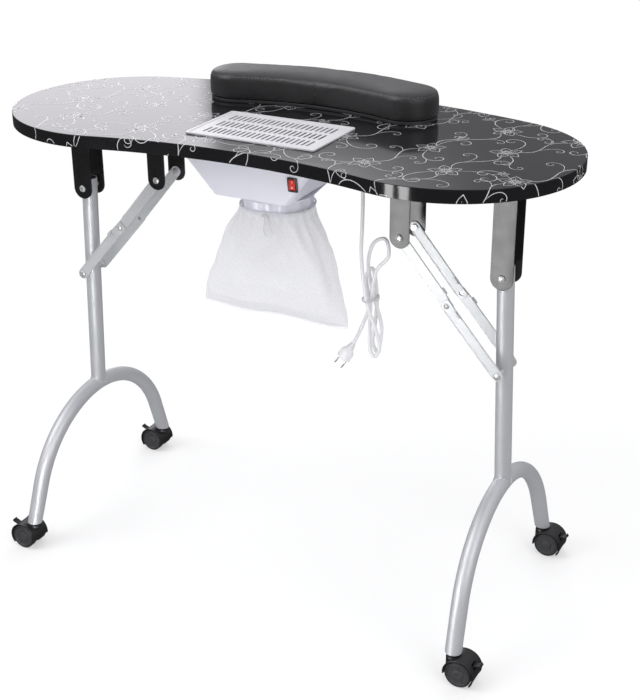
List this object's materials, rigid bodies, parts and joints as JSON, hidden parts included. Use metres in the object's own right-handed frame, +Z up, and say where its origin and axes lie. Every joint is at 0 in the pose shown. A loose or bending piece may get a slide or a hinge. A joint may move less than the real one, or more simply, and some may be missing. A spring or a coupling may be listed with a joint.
{
  "type": "manicure table",
  "caption": "folding manicure table with a kidney-shaped printed top, wrist cushion, built-in dust extractor with a hanging bag, and two T-shaped folding legs on braked casters",
  "frame": {"origin": "on the floor, under the middle of the whole table's outline box with the legs open", "axes": "+X along the top to the technician's left hand side as seen from the front, +Y from the extractor towards the cushion, +Z up"},
  "size_m": [0.8992, 0.4354, 0.771],
  "materials": {
    "laminate_top": "gloss black laminate with a fine pale line print",
    "edge_band": "gloss black edge banding",
    "white_moulding": "white satin moulding",
    "fan_plastic": "black moulded fan",
    "switch_body": "black switch bezel",
    "switch_key": "red rocker",
    "bag_cloth": "thin white non-woven cloth",
    "cord": "white flexible cord and plug",
    "leatherette": "black grained leatherette",
    "bracket_paint": "gloss black powder coat",
    "leg_paint": "satin silver paint",
    "links": "zinc plated strip",
    "fasteners": "bright plated fasteners",
    "caster_plastic": "black nylon",
    "caster_tread": "charcoal nylon wheels"
  },
  "bodies": {
    "table_frame": {"tabletop": "laminate_top", "edge_band": "edge_band", "grille": "white_moulding", "fan_housing": "white_moulding", "switch_bezel": "switch_body", "fan_frame": "fan_plastic", "dust_bag": "bag_cloth", "bag_drawstring": "bag_cloth", "power_cord": "cord", "power_plug": "cord", "cord_tie": "cord", "wrist_cushion": "leatherette", "cushion_board": "leatherette", "left_leg_bracket": "bracket_paint", "left_brace_bracket": "bracket_paint", "left_leg_bolt": "fasteners", "left_front_brace_bolt": "fasteners", "left_rear_brace_bolt": "fasteners", "right_leg_bracket": "bracket_paint", "right_brace_bracket": "bracket_paint", "right_leg_bolt": "fasteners", "right_front_brace_bolt": "fasteners", "right_rear_brace_bolt": "fasteners"},
    "left_leg": {"left_post": "leg_paint", "left_foot": "leg_paint", "left_brace_post_bolt": "fasteners"},
    "left_lower_links": {"left_front_lower_link": "links", "left_rear_lower_link": "links", "left_front_brace_rivet": "fasteners", "left_rear_brace_rivet": "fasteners"},
    "left_upper_links": {"left_front_upper_link": "links", "left_rear_upper_link": "links"},
    "left_front_caster": {"left_front_caster_hood": "caster_plastic"},
    "left_front_wheels": {"left_front_outer_wheel": "caster_tread", "left_front_inner_wheel": "caster_tread"},
    "left_front_brake": {"left_front_brake_tab": "caster_plastic"},
    "left_rear_caster": {"left_rear_caster_hood": "caster_plastic"},
    "left_rear_wheels": {"left_rear_outer_wheel": "caster_tread", "left_rear_inner_wheel": "caster_tread"},
    "left_rear_brake": {"left_rear_brake_tab": "caster_plastic"},
    "right_leg": {"right_post": "leg_paint", "right_foot": "leg_paint", "right_brace_post_bolt": "fasteners"},
    "right_lower_links": {"right_front_lower_link": "links", "right_rear_lower_link": "links", "right_front_brace_rivet": "fasteners", "right_rear_brace_rivet": "fasteners"},
    "right_upper_links": {"right_front_upper_link": "links", "right_rear_upper_link": "links"},
    "right_front_caster": {"right_front_caster_hood": "caster_plastic"},
    "right_front_wheels": {"right_front_outer_wheel": "caster_tread", "right_front_inner_wheel": "caster_tread"},
    "right_front_brake": {"right_front_brake_tab": "caster_plastic"},
    "right_rear_caster": {"right_rear_caster_hood": "caster_plastic"},
    "right_rear_wheels": {"right_rear_outer_wheel": "caster_tread", "right_rear_inner_wheel": "caster_tread"},
    "right_rear_brake": {"right_rear_brake_tab": "caster_plastic"},
    "rocker": {"switch_rocker": "switch_key"},
    "fan_wheel": {"fan_impeller": "fan_plastic"}
  },
  "joints": [
    {"name": "left_leg_fold", "type": "hinge", "parent": "table_frame", "child": "left_leg", "pos_m": [-0.357, -0.00881, 0.58], "axis": [0, -1, 0], "range_deg": [0, 92.3], "deforming": ["dust_bag", "bag_drawstring", "power_cord", "power_plug", "cord_tie"]},
    {"name": "left_lower_links_fold", "type": "hinge", "parent": "left_leg", "child": "left_lower_links", "pos_m": [-0.36278, -0.00881, 0.43612], "axis": [0, -1, 0], "range_deg": [0, 10.6]},
    {"name": "left_upper_links_fold", "type": "hinge", "parent": "table_frame", "child": "left_upper_links", "pos_m": [-0.2055, -0.00881, 0.6185], "axis": [0, 1, 0], "range_deg": [0, 60.4]},
    {"name": "left_front_swivel", "type": "hinge", "parent": "left_leg", "child": "left_front_caster", "pos_m": [-0.37847, -0.19869, 0.045], "axis": [0, 0, 1], "continuous": true},
    {"name": "left_front_wheels_roll", "type": "hinge", "parent": "left_front_caster", "child": "left_front_wheels", "pos_m": [-0.39297, -0.19869, 0.02011], "axis": [0, 1, 0], "continuous": true},
    {"name": "left_front_brake_press", "type": "hinge", "parent": "left_front_caster", "child": "left_front_brake", "pos_m": [-0.41159, -0.19869, 0.0322], "axis": [0, -1, 0], "range_deg": [0, 16]},
    {"name": "left_rear_swivel", "type": "hinge", "parent": "left_leg", "child": "left_rear_caster", "pos_m": [-0.37847, 0.18107, 0.045], "axis": [0, 0, 1], "continuous": true},
    {"name": "left_rear_wheels_roll", "type": "hinge", "parent": "left_rear_caster", "child": "left_rear_wheels", "pos_m": [-0.39297, 0.18107, 0.02011], "axis": [0, 1, 0], "continuous": true},
    {"name": "left_rear_brake_press", "type": "hinge", "parent": "left_rear_caster", "child": "left_rear_brake", "pos_m": [-0.41159, 0.18107, 0.0322], "axis": [0, -1, 0], "range_deg": [0, 16]},
    {"name": "right_leg_fold", "type": "hinge", "parent": "table_frame", "child": "right_leg", "pos_m": [0.357, -0.00881, 0.5542], "axis": [0, 1, 0], "range_deg": [0, 92.3], "deforming": ["dust_bag", "bag_drawstring", "power_cord", "power_plug", "cord_tie"]},
    {"name": "right_lower_links_fold", "type": "hinge", "parent": "right_leg", "child": "right_lower_links", "pos_m": [0.36278, -0.00881, 0.41032], "axis": [0, 1, 0], "range_deg": [0, 10.6]},
    {"name": "right_upper_links_fold", "type": "hinge", "parent": "table_frame", "child": "right_upper_links", "pos_m": [0.2055, -0.00881, 0.5927], "axis": [0, -1, 0], "range_deg": [0, 60.4]},
    {"name": "right_front_swivel", "type": "hinge", "parent": "right_leg", "child": "right_front_caster", "pos_m": [0.37743, -0.19869, 0.045], "axis": [0, 0, 1], "continuous": true},
    {"name": "right_front_wheels_roll", "type": "hinge", "parent": "right_front_caster", "child": "right_front_wheels", "pos_m": [0.39193, -0.19869, 0.02011], "axis": [0, 1, 0], "continuous": true},
    {"name": "right_front_brake_press", "type": "hinge", "parent": "right_front_caster", "child": "right_front_brake", "pos_m": [0.41055, -0.19869, 0.0322], "axis": [0, 1, 0], "range_deg": [0, 16]},
    {"name": "right_rear_swivel", "type": "hinge", "parent": "right_leg", "child": "right_rear_caster", "pos_m": [0.37743, 0.18107, 0.045], "axis": [0, 0, 1], "continuous": true},
    {"name": "right_rear_wheels_roll", "type": "hinge", "parent": "right_rear_caster", "child": "right_rear_wheels", "pos_m": [0.39193, 0.18107, 0.02011], "axis": [0, 1, 0], "continuous": true},
    {"name": "right_rear_brake_press", "type": "hinge", "parent": "right_rear_caster", "child": "right_rear_brake", "pos_m": [0.41055, 0.18107, 0.0322], "axis": [0, 1, 0], "range_deg": [0, 16]},
    {"name": "rocker_tilt", "type": "hinge", "parent": "table_frame", "child": "rocker", "pos_m": [0.074, -0.1067, 0.67269], "axis": [1, 0, 0], "range_deg": [0, 14]},
    {"name": "fan_spin", "type": "hinge", "parent": "table_frame", "child": "fan_wheel", "pos_m": [0.0115, -0.04181, 0.627], "axis": [0, 0, 1], "continuous": true}
  ],
  "couplings": [
    {"joint": "left_lower_links_fold", "follows": "left_leg_fold", "ratio": 0.11238},
    {"joint": "left_upper_links_fold", "follows": "left_leg_fold", "ratio": 0.64924},
    {"joint": "right_lower_links_fold", "follows": "right_leg_fold", "ratio": 0.11238},
    {"joint": "right_upper_links_fold", "follows": "right_leg_fold", "ratio": 0.64924}
  ]
}
